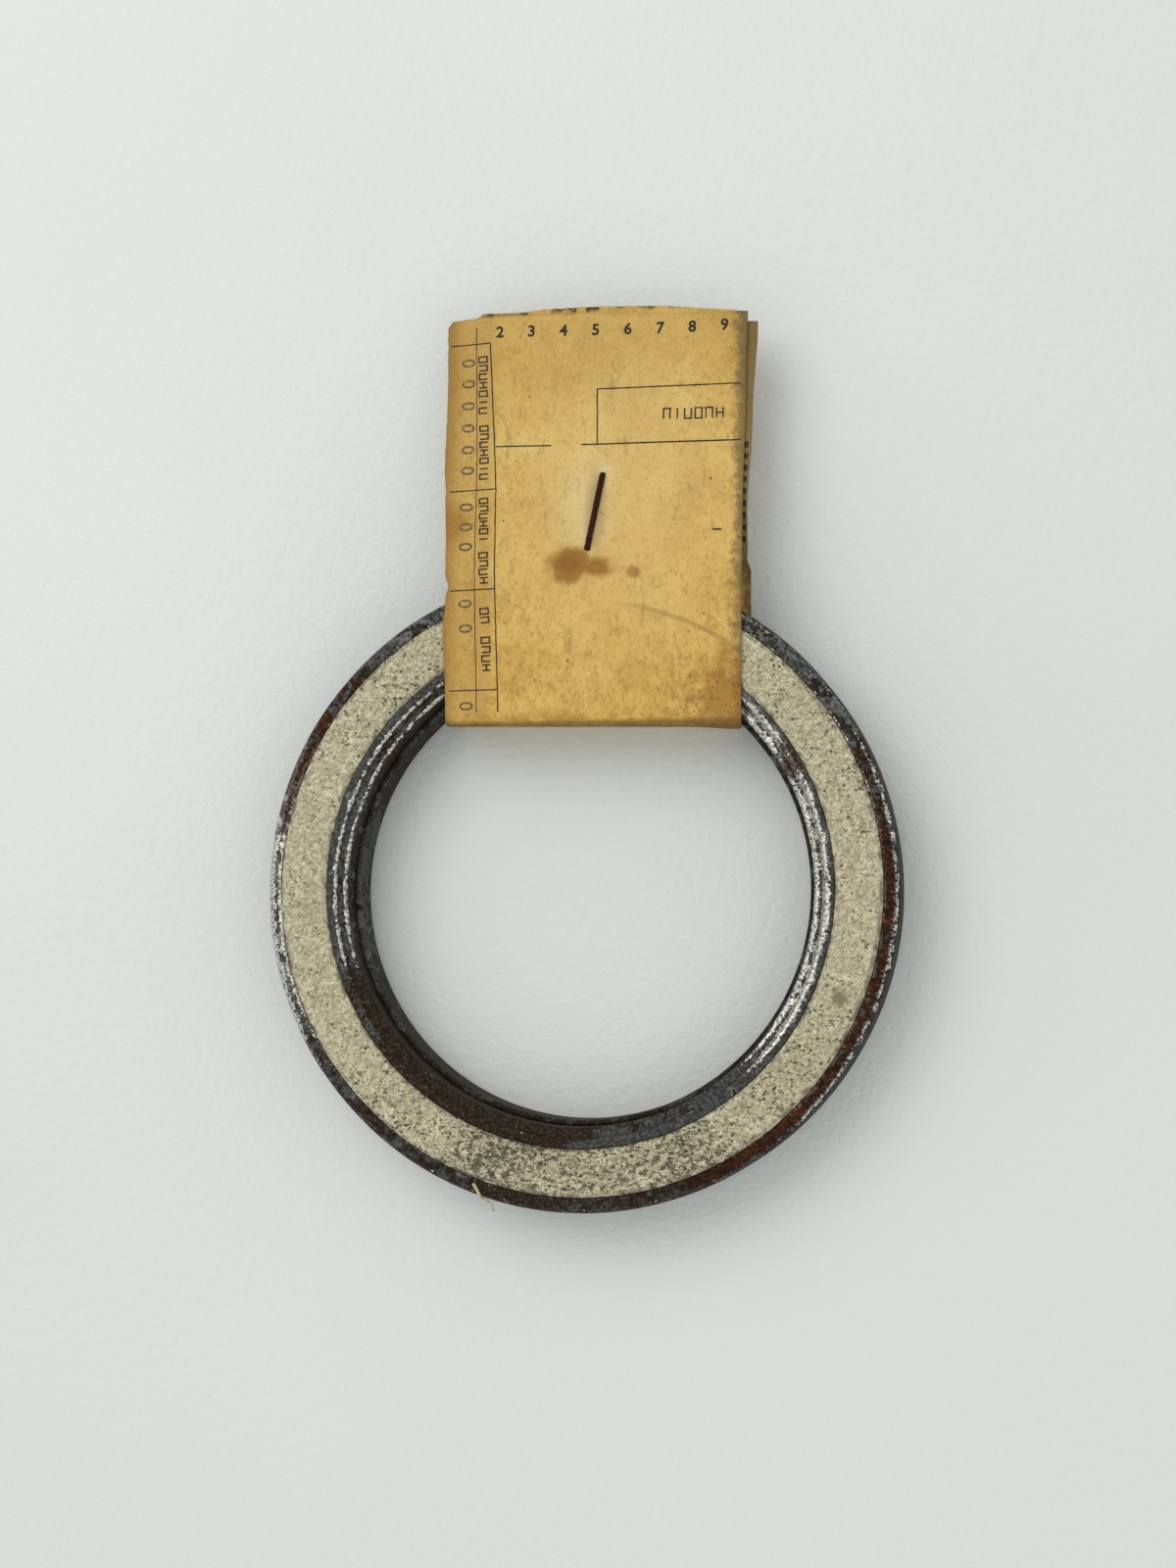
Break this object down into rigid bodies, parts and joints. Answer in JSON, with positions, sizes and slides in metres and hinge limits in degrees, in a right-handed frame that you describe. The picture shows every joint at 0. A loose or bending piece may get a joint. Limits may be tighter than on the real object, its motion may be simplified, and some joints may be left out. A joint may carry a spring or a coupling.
{
  "type": "grease seal",
  "caption": "Round felt-faced pressed-steel grease seal, lying flat, with a folded card stock ticket looped round one side of the ring and stapled.",
  "frame": {"origin": "on the ring's axis, at the shell's flat back face", "axes": "+Z along the ring's axis towards the felt face, +Y the way the stock ticket points, +X to the right seen from the felt face"},
  "size_m": [0.1016, 0.1448, 0.0139],
  "materials": {
    "shell_steel": "aged, patches of brown rust",
    "sleeve_steel": "worn, brown in the corners",
    "felt": "pressed wool felt, dusty",
    "card": "yellowed manila",
    "staple_wire": "rusted dark brown"
  },
  "bodies": {
    "seal": {"outer_shell": "shell_steel", "inner_sleeve": "sleeve_steel", "felt_ring": "felt"},
    "ticket": {"stock_ticket": "card", "staple": "staple_wire"}
  },
  "joints": [
    {"name": "ticket_slide_round", "type": "hinge", "parent": "seal", "child": "ticket", "pos_m": [0, 0, 0], "axis": [0, 0, 1], "continuous": true}
  ]
}
